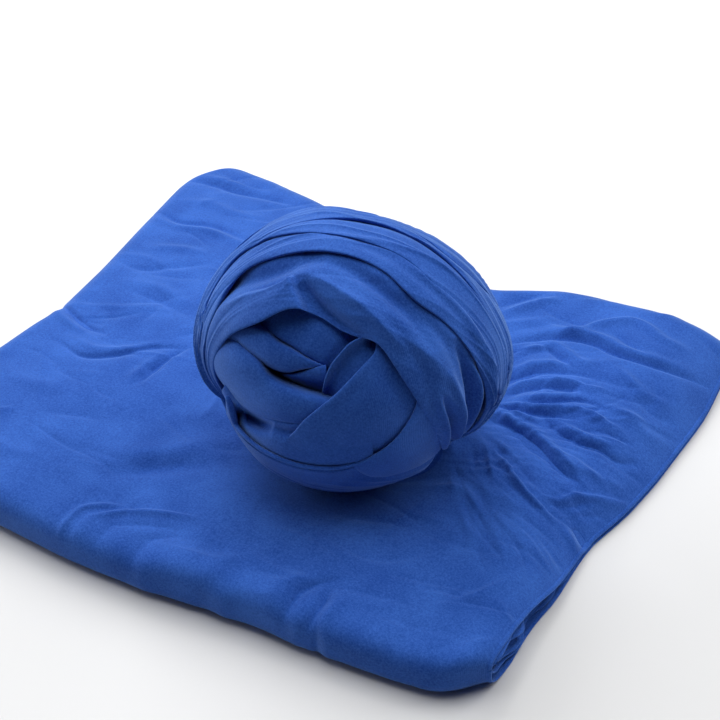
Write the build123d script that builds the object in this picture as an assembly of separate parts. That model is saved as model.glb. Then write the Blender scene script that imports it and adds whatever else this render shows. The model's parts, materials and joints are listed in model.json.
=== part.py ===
"""Baby wrap sling: one long hemmed cloth, rolled flat into a pad, with the rest wound into a ball on top.

Units are millimetres. The origin is the middle of the pad's underside, with +Z up.
+X runs across the cloth, from selvedge to selvedge, and -Y is the smooth front fold.
The cloth's layers, bends, turns, gathers, pleats and hems are separate solids, each a little
thicker than the cloth itself because each also stands for the air in a loose fold.
"""

import os
from math import cos, radians, sin

from build123d import *

# The folded pad
CLOTH_WIDTH = 570
PAD_LENGTH = 500
LAYER = 5.4
PITCH = 6.6
HEM_WIDTH = 4
# Levels count up from the underside. The cloth starts at level 2 and winds outwards to level 5.
SPIRAL = (2, 3, 1, 4, 0, 5)
TOP_LEVEL = 5

# The wound ball: a lengthwise roll whose poles are its two gathered ends
BALL_CENTRE = (74, -58, 134)
POLE_RADIUS = 121
GIRTH_RADIUS = 110
# The open face looks to the front right and upwards, in degrees
FACE_AZIMUTH = 31
FACE_ELEVATION = 37
CORE_RADIUS = 22
INNER_TURN = 20.5
TURN_LENGTH = 168
# Air between turns: in millimetres from one turn to the next, and in degrees between neighbours
PLAY = 0.5
SIDE_GAP = 0.4
# Air between the ball's flattened underside and the pad
REST_GAP = 0.3

# Outer turns, as angles about the pole axis from the open face upwards and over the back
OUTER_TURNS = (
    ("outer_turn_1", 15, 43),
    ("outer_turn_2", 43, 58),
    ("outer_turn_3", 58, 76),
    ("outer_turn_4", 76, 98),
    ("outer_turn_5", 98, 125),
    ("outer_turn_6", 125, 155),
    ("outer_turn_7", 155, 190),
    ("outer_turn_8", 190, 233),
    ("cup_turn", 233, 297),
    ("cup_hem", 297, 301),
)
# Folds tucked into the open face: angles, ends along the pole axis, and how full each one is
TUCKED_FOLDS = (
    ("tucked_fold_top", 3, 15, -84, 84, 0.90),
    ("tucked_fold_left", -30, 3, -84, -26, 0.91),
    ("tucked_fold_centre", -30, 3, -26, 22, 0.84),
    ("tucked_fold_right", -30, 3, 22, 84, 0.90),
    ("tucked_fold_front", -59, -30, -84, 84, 0.97),
)

# The gathered tail that leads from the pad into the ball, as pleats that fan out
PLEATS = 5
PLEAT_FIRST_ANGLE = -16
PLEAT_STEP = 19
PLEAT_START = 94
PLEAT_END = 180
PLEAT_START_SIZE = (21, 15)
PLEAT_END_SIZE = (32, 4)

pad_height = TOP_LEVEL * PITCH + LAYER
x_inner = CLOTH_WIDTH / 2 - HEM_WIDTH
front_bend_y = -PAD_LENGTH / 2 + TOP_LEVEL * PITCH / 2 + LAYER / 2
back_bend_y = PAD_LENGTH / 2 - (TOP_LEVEL - 1) * PITCH / 2 - LAYER / 2


def level_z(level):
    """Height of the middle of a layer."""
    return LAYER / 2 + level * PITCH


def panel_profile(level, end_y=None):
    """Cross-section of one flat layer, with Y across and Z up."""
    end_y = back_bend_y if end_y is None else end_y
    length = end_y - front_bend_y
    return Pos(front_bend_y + length / 2, level_z(level)) * Rectangle(length, LAYER)


def bend_profile(level_a, level_b, at_front):
    """Cross-section of the half turn that joins two layers at the pad's front or back."""
    radius = abs(level_a - level_b) * PITCH / 2
    ring = Circle(radius + LAYER / 2) - Circle(radius - LAYER / 2)
    outward = -1 if at_front else 1
    half = Pos(outward * PAD_LENGTH / 2, 0) * Rectangle(PAD_LENGTH, PAD_LENGTH)
    bend_y = front_bend_y if at_front else back_bend_y
    return Pos(bend_y, (level_z(level_a) + level_z(level_b)) / 2) * (ring & half)


def across(profile, x_low, x_high):
    """A Y-Z cross-section carried across the cloth from x_low to x_high."""
    return extrude(Plane.YZ.offset(x_low) * profile, x_high - x_low)


def make_pad():
    """The rolled-flat pad: layers, bends, one spiral hem on each selvedge, and the free end's hem."""
    free_end_y = PAD_LENGTH / 2
    panels = [panel_profile(level) for level in SPIRAL[:-1]]
    panels.append(panel_profile(TOP_LEVEL, free_end_y - HEM_WIDTH))
    bends = [
        bend_profile(level_a, level_b, at_front=index % 2 == 0)
        for index, (level_a, level_b) in enumerate(zip(SPIRAL, SPIRAL[1:]))
    ]
    end_profile = Pos(free_end_y - HEM_WIDTH / 2, level_z(TOP_LEVEL)) * Rectangle(HEM_WIDTH, LAYER)
    whole_spiral = Sketch() + [*panels, *bends, end_profile]
    pieces = {
        "end_hem": across(end_profile, -x_inner, x_inner),
        "selvedge_hem_left": across(whole_spiral, -CLOTH_WIDTH / 2, -x_inner),
        "selvedge_hem_right": across(whole_spiral, x_inner, CLOTH_WIDTH / 2),
    }
    for number, profile in enumerate(panels, start=1):
        pieces[f"pad_layer_{number}"] = across(profile, -x_inner, x_inner)
    for number, profile in enumerate(bends, start=1):
        pieces[f"pad_bend_{number}"] = across(profile, -x_inner, x_inner)
    return pieces


def pleat_section(distance, angle, size):
    """A half-oval across a pleat, standing on the pad's top at a distance from under the ball's centre."""
    width, height = size
    heading = (cos(radians(angle)), sin(radians(angle)), 0)
    start = (
        BALL_CENTRE[0] + distance * heading[0],
        BALL_CENTRE[1] + distance * heading[1],
        pad_height,
    )
    plane = Plane(origin=start, x_dir=(-heading[1], heading[0], 0), z_dir=heading)
    upper = Pos(0, height) * Rectangle(2 * width, 2 * height)
    return plane * (Ellipse(width / 2, height) & upper)


def make_pleats():
    """Pleats that taper away from the ball's right-hand side, flat on the pad."""
    pieces = {}
    for index in range(PLEATS):
        angle = PLEAT_FIRST_ANGLE + index * PLEAT_STEP
        near = pleat_section(PLEAT_START, angle, PLEAT_START_SIZE)
        far = pleat_section(PLEAT_END, angle, PLEAT_END_SIZE)
        pieces[f"gathered_pleat_{index + 1}"] = loft([near.face(), far.face()])
    return pieces


def ball_plane():
    """X along the pole axis, Z out of the open face, Y up the face."""
    azimuth = radians(FACE_AZIMUTH)
    elevation = radians(FACE_ELEVATION)
    pole = (cos(azimuth), sin(azimuth), 0)
    face = (sin(azimuth) * cos(elevation), -cos(azimuth) * cos(elevation), sin(elevation))
    return Plane(origin=BALL_CENTRE, x_dir=pole, z_dir=face)


def wedge(profile, start, end):
    """A profile above the pole axis, turned about it between two angles measured up from the face."""
    turned = revolve(profile, axis=Axis.X, revolution_arc=end - start - SIDE_GAP)
    return Rot(90 - end + SIDE_GAP / 2, 0, 0) * turned


def shell_profile(x_low, x_high, inner_radius, fullness=1.0):
    """The part of the ball's outline from x_low to x_high that lies outside inner_radius."""
    outline = Ellipse(POLE_RADIUS, GIRTH_RADIUS * fullness)
    width = x_high - x_low
    window = Pos(x_low + width / 2, inner_radius + GIRTH_RADIUS / 2) * Rectangle(width, GIRTH_RADIUS)
    return outline & window


def tube_profile(inner_radius, outer_radius):
    """The cross-section of a straight turn of the roll."""
    middle = (inner_radius + outer_radius) / 2
    return Pos(0, middle) * Rectangle(TURN_LENGTH, outer_radius - inner_radius)


def cap_profile(side):
    """Half the outline of one gathered end, beyond the straight turns."""
    x_near = TURN_LENGTH / 2 + PLAY
    window = Pos(side * (x_near + POLE_RADIUS / 2), GIRTH_RADIUS / 2) * Rectangle(POLE_RADIUS, GIRTH_RADIUS)
    return Ellipse(POLE_RADIUS, GIRTH_RADIUS) & window


def make_ball():
    """The wound ball: a core, inner half turns, outer turns, folds tucked into the face, gathered ends."""
    inner = CORE_RADIUS + PLAY
    middle = inner + INNER_TURN + PLAY
    outer = middle + INNER_TURN + PLAY
    half_length = TURN_LENGTH / 2
    local = {"ball_core": Rot(0, 90, 0) * Cylinder(CORE_RADIUS, TURN_LENGTH)}
    for name, start, radius in (
        ("inner_turn_1", 0, inner),
        ("inner_turn_2", 180, inner),
        ("inner_turn_3", 90, middle),
        ("inner_turn_4", 270, middle),
    ):
        local[name] = wedge(tube_profile(radius, radius + INNER_TURN), start, start + 180)
    for name, start, end in OUTER_TURNS:
        local[name] = wedge(shell_profile(-half_length, half_length, outer), start, end)
    for name, start, end, x_low, x_high, fullness in TUCKED_FOLDS:
        profile = shell_profile(x_low + PLAY / 2, x_high - PLAY / 2, outer, fullness)
        local[name] = wedge(profile, start, end)
    local["gathered_end_left"] = revolve(cap_profile(-1), axis=Axis.X)
    local["gathered_end_right"] = revolve(cap_profile(1), axis=Axis.X)
    under = Pos(0, 0, pad_height + REST_GAP - GIRTH_RADIUS) * Box(
        4 * POLE_RADIUS, 4 * POLE_RADIUS, 2 * GIRTH_RADIUS
    )
    under = Pos(BALL_CENTRE[0], BALL_CENTRE[1], 0) * under
    placed = ball_plane()
    return {name: (placed * solid) - under for name, solid in local.items()}


os.makedirs("parts", exist_ok=True)
for node, shape in {**make_pad(), **make_pleats(), **make_ball()}.items():
    export_step(shape, f"parts/{node}.step")
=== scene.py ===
"""The folded baby wrap as cloth: a soft layered pad, and the wound ball with its tucked folds.

Shapes are worked out in millimetres and written to meshes in metres, in the CAD model's frame.
"""

import json
import math

import bpy
import numpy as np
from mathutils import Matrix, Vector

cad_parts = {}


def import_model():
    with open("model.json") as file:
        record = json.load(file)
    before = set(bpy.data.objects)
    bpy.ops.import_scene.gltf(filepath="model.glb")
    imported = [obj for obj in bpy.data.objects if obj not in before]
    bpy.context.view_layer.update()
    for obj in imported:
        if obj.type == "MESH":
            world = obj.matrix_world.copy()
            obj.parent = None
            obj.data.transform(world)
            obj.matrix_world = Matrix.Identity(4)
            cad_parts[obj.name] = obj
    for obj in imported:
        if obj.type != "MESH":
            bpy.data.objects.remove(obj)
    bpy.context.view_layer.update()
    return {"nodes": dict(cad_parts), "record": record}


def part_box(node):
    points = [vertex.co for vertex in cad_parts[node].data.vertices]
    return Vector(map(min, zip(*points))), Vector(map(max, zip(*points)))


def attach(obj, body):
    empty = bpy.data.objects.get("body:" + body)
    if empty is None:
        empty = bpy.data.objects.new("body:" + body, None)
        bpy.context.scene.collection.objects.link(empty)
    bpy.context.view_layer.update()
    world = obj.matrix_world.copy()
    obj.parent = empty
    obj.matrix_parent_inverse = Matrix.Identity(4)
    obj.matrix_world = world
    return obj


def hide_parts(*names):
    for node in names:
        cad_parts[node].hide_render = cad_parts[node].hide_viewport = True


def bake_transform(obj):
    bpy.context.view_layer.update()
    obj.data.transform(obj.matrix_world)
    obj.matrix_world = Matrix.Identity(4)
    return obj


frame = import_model()

MM = 0.001

# ---------------------------------------------------------------- where things are, from the frame
PAD_NODES = [n for n in frame["nodes"] if n.startswith(("pad_", "selvedge_", "end_hem"))]
BALL_NODES = frame["record"]["behaviour"]["bodies"]["wound_ball"]


def combined_box(names):
    """Lowest and highest corner of several CAD nodes together, in millimetres."""
    boxes = [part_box(name) for name in names]
    low = np.min([box[0] for box in boxes], axis=0) / MM
    high = np.max([box[1] for box in boxes], axis=0) / MM
    return low, high


PAD_LOW, PAD_HIGH = combined_box(PAD_NODES)
BALL_LOW, BALL_HIGH = combined_box(BALL_NODES)
PAD_TOP = PAD_HIGH[2]
PAD_DEPTH = PAD_HIGH[1] - PAD_LOW[1]
GIRTH_RADIUS = 110.0
BALL_CENTRE = np.append((BALL_LOW[:2] + BALL_HIGH[:2]) / 2, BALL_HIGH[2] - GIRTH_RADIUS)

FACE_AZIMUTH = math.radians(31)
FACE_ELEVATION = math.radians(37)
# The ball's own axes: along its poles, up its face, and straight out of its face
ALONG = np.array([math.cos(FACE_AZIMUTH), math.sin(FACE_AZIMUTH), 0.0])
OUT = np.array(
    [
        math.sin(FACE_AZIMUTH) * math.cos(FACE_ELEVATION),
        -math.cos(FACE_AZIMUTH) * math.cos(FACE_ELEVATION),
        math.sin(FACE_ELEVATION),
    ]
)
UP = np.cross(OUT, ALONG)


# ---------------------------------------------------------------- curves, grids and meshes
def curve_through(points, count):
    """count points evenly along a smooth curve through the given points."""
    points = np.asarray(points, float)
    gaps = np.linalg.norm(np.diff(points, axis=0), axis=1)
    at = np.concatenate([[0], np.cumsum(np.maximum(gaps, 1e-6))])
    at /= at[-1]
    slopes = np.gradient(points, at, axis=0)
    t = np.linspace(0, 1, count)
    i = np.clip(np.searchsorted(at, t, side="right") - 1, 0, len(at) - 2)
    h = (at[i + 1] - at[i])[:, None]
    f = (t - at[i])[:, None] / h
    start = (2 * f**3 - 3 * f**2 + 1) * points[i] + (f**3 - 2 * f**2 + f) * h * slopes[i]
    end = (3 * f**2 - 2 * f**3) * points[i + 1] + (f**3 - f**2) * h * slopes[i + 1]
    return start + end


def rounded(chain, rounds=3):
    """Cuts the corners of a chain of points, along its first axis, until it is a smooth line."""
    for _ in range(rounds):
        near = 0.75 * chain[:-1] + 0.25 * chain[1:]
        far = 0.25 * chain[:-1] + 0.75 * chain[1:]
        middle = np.stack([near, far], axis=1).reshape(-1, *chain.shape[1:])
        chain = np.concatenate([chain[:1], middle, chain[-1:]])
    return chain


def smoothed(values, width):
    """A running bell-shaped average of a row of numbers."""
    reach = np.arange(-3 * width, 3 * width + 1)
    bell = np.exp(-0.5 * (reach / width) ** 2)
    padded = np.pad(values, 3 * width, mode="edge")
    return np.convolve(padded, bell / bell.sum(), mode="valid")


def step(x, low, high):
    """0 below low, 1 above high, and smooth between them."""
    t = np.clip((x - low) / (high - low), 0, 1)
    return t * t * (3 - 2 * t)


def to_row(p):
    """Points along the ball's own axes, as points in the row frame."""
    return BALL_CENTRE + p[..., :1] * ALONG + p[..., 1:2] * UP + p[..., 2:3] * OUT


GRIDS = {}


def grid_mesh(name, points, material, flip=False):
    """A smooth-shaded mesh from a grid of points in millimetres."""
    GRIDS[name] = points
    rows, columns = points.shape[:2]
    index = np.arange(rows * columns).reshape(rows, columns)
    quads = np.stack([index[:-1, :-1], index[1:, :-1], index[1:, 1:], index[:-1, 1:]], axis=-1)
    quads = quads.reshape(-1, 4)
    if flip:
        quads = quads[:, ::-1]
    mesh = bpy.data.meshes.new(name)
    mesh.from_pydata((points.reshape(-1, 3) * MM).tolist(), [], quads.tolist())
    mesh.polygons.foreach_set("use_smooth", [True] * len(mesh.polygons))
    mesh.materials.append(material)
    mesh.update()
    piece = bpy.data.objects.new(name, mesh)
    bpy.context.scene.collection.objects.link(piece)
    return piece


# ---------------------------------------------------------------- materials
def add_node(tree, kind, inputs=(), **settings):
    """A shader node with its settings, and its inputs either linked (to a socket) or set (to a value)."""
    node = tree.nodes.new("ShaderNode" + kind)
    for key, value in settings.items():
        setattr(node, key, value)
    for key, value in dict(inputs).items():
        if isinstance(value, bpy.types.NodeSocket):
            tree.links.new(value, node.inputs[key])
        else:
            node.inputs[key].default_value = value
    return node


def new_material(name):
    """A material with an empty node tree."""
    material = bpy.data.materials.new(name)
    material.use_nodes = True
    material.node_tree.nodes.clear()
    return material, material.node_tree


def jersey(name, tint=1.0):
    """Royal-blue cotton jersey: fine knit columns, soft mottling, a matt surface and a short nap."""
    material, tree = new_material(name)
    place = add_node(tree, "TexCoord").outputs["Object"]

    def noise(scale, detail, roughness):
        inputs = {"Vector": place, "Scale": scale, "Detail": detail, "Roughness": roughness}
        return add_node(tree, "TexNoise", inputs).outputs["Fac"]

    def mix(first, second):
        return add_node(tree, "Mix", {0: 0.6, 2: first, 3: second}, data_type="FLOAT").outputs[0]

    fibre = noise(620.0, 3.0, 0.75)
    ramp = add_node(tree, "ValToRGB", {"Fac": mix(noise(22.0, 4.0, 0.55), fibre)})
    dark, light = ramp.color_ramp.elements
    dark.position, dark.color = 0.36, (0.0090 * tint, 0.054 * tint, 0.300 * tint, 1)
    light.position, light.color = 0.64, (0.0360 * tint, 0.128 * tint, 0.510 * tint, 1)

    columns = {"Vector": place, "Scale": 330.0, "Distortion": 1.2, "Detail": 2.0, "Detail Scale": 3.0}
    knit = add_node(tree, "TexWave", columns, wave_type="BANDS", bands_direction="X")
    relief = {"Height": mix(knit.outputs["Fac"], fibre), "Strength": 0.4, "Distance": 0.0006}
    surface = {
        "Base Color": ramp.outputs["Color"],
        "Normal": add_node(tree, "Bump", relief).outputs["Normal"],
        "Roughness": 0.88,
        "Specular IOR Level": 0.12,
        "Sheen Weight": 0.55,
        "Sheen Roughness": 0.4,
        "Sheen Tint": (0.36, 0.60, 1.0, 1),
    }
    add_node(tree, "OutputMaterial", {"Surface": add_node(tree, "BsdfPrincipled", surface).outputs["BSDF"]})
    return material


JERSEY = jersey("blue_jersey")
HEM = jersey("blue_jersey_hem", tint=1.05)


# ---------------------------------------------------------------- the ball's base shape
# The outline seen straight onto the face, as (degrees from the right-hand pole, upwards; radius)
OUTLINE = [
    (0, 115), (12, 110), (28, 105), (46, 100), (65, 97), (87, 97.5), (101, 103), (120, 109), (137, 112.5),
    (155, 116.5), (168, 118), (180, 117.5), (190, 114.5), (199, 108), (206, 107), (218, 110), (232, 112.5),
    (251, 109.5), (268, 106.5), (284, 105), (298, 103.5), (308, 101.5), (320, 105), (332, 110), (345, 114),
]
# How far in front of the ball's middle its face is looked at from, where lines on it are given as seen
VIEW_DISTANCE = 1230.0
HALF_DEGREES = np.arange(721) / 2


def outline_table():
    """The outline's radius at every half degree all the way round, smoothed."""
    turns = [turn for turn, _ in OUTLINE] + [OUTLINE[0][0] + 360]
    radii = [radius for _, radius in OUTLINE] + [OUTLINE[0][1]]
    once = np.interp(HALF_DEGREES[:-1], turns, radii)
    once = smoothed(np.tile(once, 3), 8)[720:1440]
    return np.append(once, once[0])


OUTLINE_RADII = outline_table()


def outline_radius(u, v):
    """The outline's radius in the direction of (along, up)."""
    return np.interp(np.degrees(np.arctan2(v, u)) % 360, HALF_DEGREES, OUTLINE_RADII)


def fullness(p):
    """Below 1 inside the ball's base shape, and 1 on its surface."""
    radius = outline_radius(p[..., 0], p[..., 1])
    return (p[..., 0] ** 2 + p[..., 1] ** 2) / radius**2 + (p[..., 2] / GIRTH_RADIUS) ** 2


def outward(p):
    """The base shape's outward direction near a point."""
    radius = outline_radius(p[..., 0], p[..., 1])
    normal = np.stack([p[..., 0] / radius**2, p[..., 1] / radius**2, p[..., 2] / GIRTH_RADIUS**2], axis=-1)
    return normal / np.linalg.norm(normal, axis=-1, keepdims=True)


def on_face(uv):
    """The point of the base shape that is seen at (along, up) from straight in front of the face."""
    uv = np.asarray(uv, float)
    depth = np.zeros(uv.shape[:-1])
    # the place depends on the depth and the depth on the place, so each is worked out from the other
    for _ in range(6):
        true = uv * (1 - depth / VIEW_DISTANCE)[..., None]
        radius = outline_radius(true[..., 0], true[..., 1])
        share = (true**2).sum(-1) / radius**2
        depth = GIRTH_RADIUS * np.sqrt(np.maximum(1 - share, 0.0004))
    return np.concatenate([true, depth[..., None]], axis=-1)


def hinge_between(left, right):
    """The line that a set of turns swings about: (its middle, the way along it, the way up from it)."""
    left, right = np.array([*left, 0.0]), np.array([*right, 0.0])
    along = (right - left) / np.linalg.norm(right - left)
    return (left + right) / 2, along, np.array([-along[1], along[0], 0.0])


# Every outer turn is gathered at two tucks. The cup starts higher up, under the other turns' left ends.
TUCK_LEFT = (-102.0, -43.0)
TUCK_RIGHT = (66.0, -78.0)
CUP_TUCK_LEFT = (-104.0, -12.0)
TURBAN_HINGE = hinge_between(TUCK_LEFT, TUCK_RIGHT)
CUP_HINGE = hinge_between(CUP_TUCK_LEFT, TUCK_RIGHT)
HINGE_OUT = np.array([0.0, 0.0, 1.0])


def hinge_angles(p, hinge=TURBAN_HINGE):
    """(turn about the hinge line from the face upwards, sweep from the right tuck to the left one)."""
    middle, along, up = hinge
    d = p - middle
    return np.arctan2(d @ up, d @ HINGE_OUT), np.arctan2(np.hypot(d @ up, d @ HINGE_OUT), d @ along)


def on_turn(turn, sweep, hinge=TURBAN_HINGE):
    """The base shape's point at a turn and sweep about the hinge line, found by halving."""
    middle, along, up = hinge
    turn, sweep = np.broadcast_arrays(turn, sweep)
    across = np.cos(turn)[..., None] * HINGE_OUT + np.sin(turn)[..., None] * up
    way = np.cos(sweep)[..., None] * along + np.sin(sweep)[..., None] * across
    low = np.zeros(turn.shape)
    high = np.full(turn.shape, 300.0)
    for _ in range(20):
        half_way = (low + high) / 2
        inner = fullness(middle + half_way[..., None] * way) < 1
        low = np.where(inner, half_way, low)
        high = np.where(inner, high, half_way)
    return middle + half_way[..., None] * way


def arm_length(turn, sweep, hinge):
    """How far the base shape stands off the hinge line, and at least 30."""
    middle, along, _ = hinge
    off = np.cross(on_turn(turn, sweep, hinge) - middle, along)
    return np.maximum(np.linalg.norm(off, axis=-1), 30.0)


def seat(points):
    """Flattens what would sink into the pad, softly."""
    softness, gap = 4.0, 1.0
    floor_z = PAD_TOP + gap
    z = points[..., 2]
    above = np.logaddexp(0, (z - floor_z) / softness) * softness
    return np.concatenate([points[..., :2], (floor_z + above)[..., None]], axis=-1)


def pleat_lines(turn, sweep, count, spread, height, width, seed):
    """Fine creases that run from tuck to tuck over a band, deeper towards the tucks, in millimetres."""
    rng = np.random.default_rng(seed)
    total = np.zeros(np.broadcast(turn, sweep).shape)
    low, high = spread
    near_tuck = 1 + 2.0 * (np.exp(-((sweep / 0.55) ** 2)) + np.exp(-(((math.pi - sweep) / 0.45) ** 2)))
    for _ in range(count):
        centre = rng.uniform(low, high)
        drift = rng.normal(0, 0.07)
        bend = rng.normal(0, 0.04)
        middle = rng.uniform(0.1, 0.9) * math.pi
        reach = rng.uniform(0.3, 1.1)
        size = height * rng.uniform(0.3, 1.0) * rng.choice([1, 1, -1])
        breadth = width * rng.uniform(0.5, 1.8)
        line = centre + drift * np.cos(sweep) + bend * np.sin(2 * sweep)
        fade = np.exp(-(((sweep - middle) / reach) ** 2))
        away = np.abs(turn - line) / breadth
        total += size * fade * near_tuck * np.exp(-(away**1.4))
    return total


# ---------------------------------------------------------------- the ball's outer turns
COLUMNS = 330
SWEEPS = np.linspace(0.02, math.pi - 0.02, COLUMNS)
SWEEP_DEGREES = np.degrees(SWEEPS)

# Each turn's visible edge, as points on the face (along, up)
EDGE_FACE = [
    (-107, 0), (-102, 6), (-97, 10), (-85, 15.5), (-73, 19), (-60, 24.5), (-48, 28), (-39, 28), (-31, 25.5),
    (-24, 21.5), (-17, 16.5), (-8.5, 12), (0, 8.5), (9, 6.5), (16.5, 3), (27, -10), (37.5, -26), (48, -42),
    (56, -54.5), (62, -68), (66, -78),
]
EDGE_THIRD = [
    (-115, 0), (-113, 13), (-106, 29), (-97, 46), (-82, 60), (-63, 68), (-38, 72), (-14, 70), (10, 63),
    (27, 53), (39, 40), (50, 31), (62, 23), (74, 12), (85, -3), (92, -17), (96, -31), (94, -46),
    (86, -62), (78, -72),
]
EDGE_SECOND = [
    (-117, 1), (-111, 34), (-102, 51), (-89, 67), (-72, 78), (-51, 84), (-31, 85), (-10, 82), (10, 77),
    (31, 69), (41, 63), (56, 48), (74, 31), (91, 10), (101, -8), (106, -26), (105, -42), (98, -56), (86, -70),
]
EDGE_FIRST = [
    (-116, 12), (-110, 36), (-97, 57), (-78, 75), (-52, 89), (-28, 94), (-4, 94), (19, 89), (40, 81),
    (64, 65), (78, 52), (97, 25), (107, 5), (112, -18), (109, -38),
]
EDGE_BACK = [
    (-30, 101), (-10, 101), (8, 98), (24, 93), (44, 83), (63, 70), (86, 51), (102, 34), (110, 20),
    (115, -2), (114, -20), (109, -40),
]
EDGE_CUP = [
    (-104, -10), (-102.4, -18), (-100.6, -27), (-99.4, -35), (-98.4, -42), (-95.2, -51), (-88, -62),
    (-75, -74), (-62, -81.5), (-48, -87), (-18, -91), (8.5, -87), (30, -83), (50, -80), (66, -78),
]


def edge_turn(points, hinge=TURBAN_HINGE):
    """The turn angle along an edge given by the points that it passes on the face."""
    turn, sweep = hinge_angles(on_face(curve_through(points, 160)), hinge)
    order = np.argsort(sweep)
    return smoothed(np.interp(SWEEPS, sweep[order], turn[order]), 3)


def by_sweep(*pairs):
    """Values along the sweep, given at some sweeps in degrees (0 at the right tuck, 180 at the left)."""
    return smoothed(np.interp(SWEEP_DEGREES, [p[0] for p in pairs], [p[1] for p in pairs]), 8)


face = edge_turn(EDGE_FACE)
third = np.maximum(edge_turn(EDGE_THIRD), face + 0.05)
second = np.maximum(edge_turn(EDGE_SECOND), third + 0.03)
first = np.maximum(edge_turn(EDGE_FIRST), second + 0.03)
back = np.maximum(edge_turn(EDGE_BACK), first + 0.03)
cup = edge_turn(EDGE_CUP, CUP_HINGE)

LIP_FACE = by_sweep((0, 0.6), (40, 0.9), (90, 0.8), (130, 0.9), (160, 0.9), (180, 0.4))
LIP_THIRD = by_sweep((0, 0.6), (30, 0.4), (80, 0.2), (110, 0.24), (150, 0.45), (180, 0.4))
LIP_SECOND = by_sweep((0, 0.5), (30, 0.3), (70, 0.1), (100, 0.2), (150, 0.45), (180, 0.4))
LIP_FIRST = by_sweep((0, 0.4), (30, 0.3), (50, 0.08), (125, 0.03), (150, 0.3), (180, 0.4))
LIP_BACK = by_sweep((0, 0.5), (30, 0.35), (80, 0.06), (110, 0.0), (150, 0.02), (180, 0.2))


def lip_section(reach, height, meet, lip, crown):
    """A turn's cross-section: under its own lip, round it, over the crown, and below the next turn."""
    section = [
        (np.minimum(14, reach * 0.8), height - 5 - 3 * lip),
        (1 + 4 * lip, height - 2.8 - 3 * lip),
        (0.2 + 0.8 * lip, height - 1.6 - 1.6 * lip),
        (-0.8 * lip, height - 0.8 - 0.9 * lip),
        (0.1 * lip, height - 0.1 - 0.2 * lip),
        (1.3 + 1.2 * lip, height + 0.3 * crown),
    ]
    for q in np.linspace(0.12, 0.95, 8):
        over = height + (meet - height) * step(q, 0.2, 0.97) + crown * np.sin(3.1 * q)
        section.append((reach * q + 2 * (1 - q), over))
    section += [(reach + 5, meet - 3), (reach + 11, meet - 4.5)]
    return np.stack([np.stack(place, -1) for place in section])


def sunk_at_tucks(lift, right, left):
    """The lift, going down into the two tucks. right and left are (how far, how wide along the sweep)."""
    tuck = right[0] * np.exp(-((SWEEPS / right[1]) ** 2))
    tuck = tuck + left[0] * np.exp(-(((math.pi - SWEEPS) / left[1]) ** 2))
    return lift * (1 - 0.5 * np.minimum(tuck, 1)) - 9 * tuck


def outer_turn(name, start, end, heights, lips, pleats, seed, crown, extra=None):
    """One turn of cloth over the ball, from its visible edge to where the next turn covers it.

    heights and lips are its own and the next turn's, and pleats are (how many, how high, how wide).
    """
    height, next_height = (h + np.zeros(COLUMNS) for h in heights)
    lip, next_lip = (v + np.zeros(COLUMNS) for v in lips)
    rng = np.random.default_rng(seed)
    for waves in (5, 9, 14):
        wander = rng.uniform(0, 6)
        start = start + 0.018 / waves * np.sin(waves * SWEEPS + wander)
        height = height + 1.6 / waves * np.sin((waves - 2) * SWEEPS + wander * 2)
    arm = arm_length(start, SWEEPS, TURBAN_HINGE)
    reach = np.maximum((end - start) * arm, 4)
    meet = next_height - 0.3 - 2.2 * next_lip
    chain = rounded(lip_section(reach, height, meet, lip * np.sin(SWEEPS) ** 0.3, crown))
    turn = start + chain[..., 0] / arm
    base = on_turn(turn, SWEEPS[None, :])
    lift = chain[..., 1]
    count, *size = pleats
    spread = (float(start.min()) - 0.02, float(end.max()))
    lift = lift + pleat_lines(turn, SWEEPS[None, :], count, spread, *size, seed)
    if extra is not None:
        lift = lift + extra(base)
    lift = sunk_at_tucks(lift, (0.8, 0.18), (0.6, 0.09))
    points = seat(to_row(base + lift[..., None] * outward(base)))
    return grid_mesh(name, points, JERSEY, flip=True)


def near_line(points, width, height, power=2.0, lean=0.0):
    """A ridge along a line on the face, or a valley if height is below 0. lean widens its right side."""
    line = curve_through(points, 60)
    ahead = np.gradient(line, axis=0)
    fade = np.sin(np.linspace(0, math.pi, 60)) ** 0.8

    def ridge(base):
        flat = base[..., :2].reshape(-1, 2)
        best = np.full(len(flat), 1e9)
        share = np.zeros(len(flat))
        side = np.zeros(len(flat))
        for point, way, level in zip(line, ahead, fade):
            off = flat - point
            away = (off**2).sum(-1)
            closer = away < best
            best = np.where(closer, away, best)
            share = np.where(closer, level, share)
            side = np.where(closer, np.sign(off[:, 0] * way[1] - off[:, 1] * way[0]), side)
        spread = width * (1 + lean * side)
        result = height * share * np.exp(-((best / spread**2) ** (power / 2)))
        return result.reshape(base.shape[:-1])

    return ridge


def shaped(*lines, others=()):
    """The sum of several ridges and valleys, on the side of the ball that the face is on."""
    strokes = [*others, *(near_line(*line) for line in lines)]

    def total(base):
        return step(base[..., 2], -30, 8) * sum(stroke(base) for stroke in strokes)

    return total


def peak_panel(base):
    """The flat panel left of the peak: it rises towards the crease on its right, and ends there and above."""
    u, v = base[..., 0], base[..., 1]
    top = np.interp(u, [-108, -99, -80, -63, -50, -45, -37], [16, 31, 38, 41.5, 46, 50, 50])
    right = np.interp(v, [24, 33, 42, 50, 56], [-36, -39, -43, -45.5, -46])
    rise = 1 + 7 * np.clip((u + 100) / 55, 0, 1)
    return rise * step(top - v, -2.5, 2.5) * step(right - u, -2.2, 2.2) * step(u, -108, -90)


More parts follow.
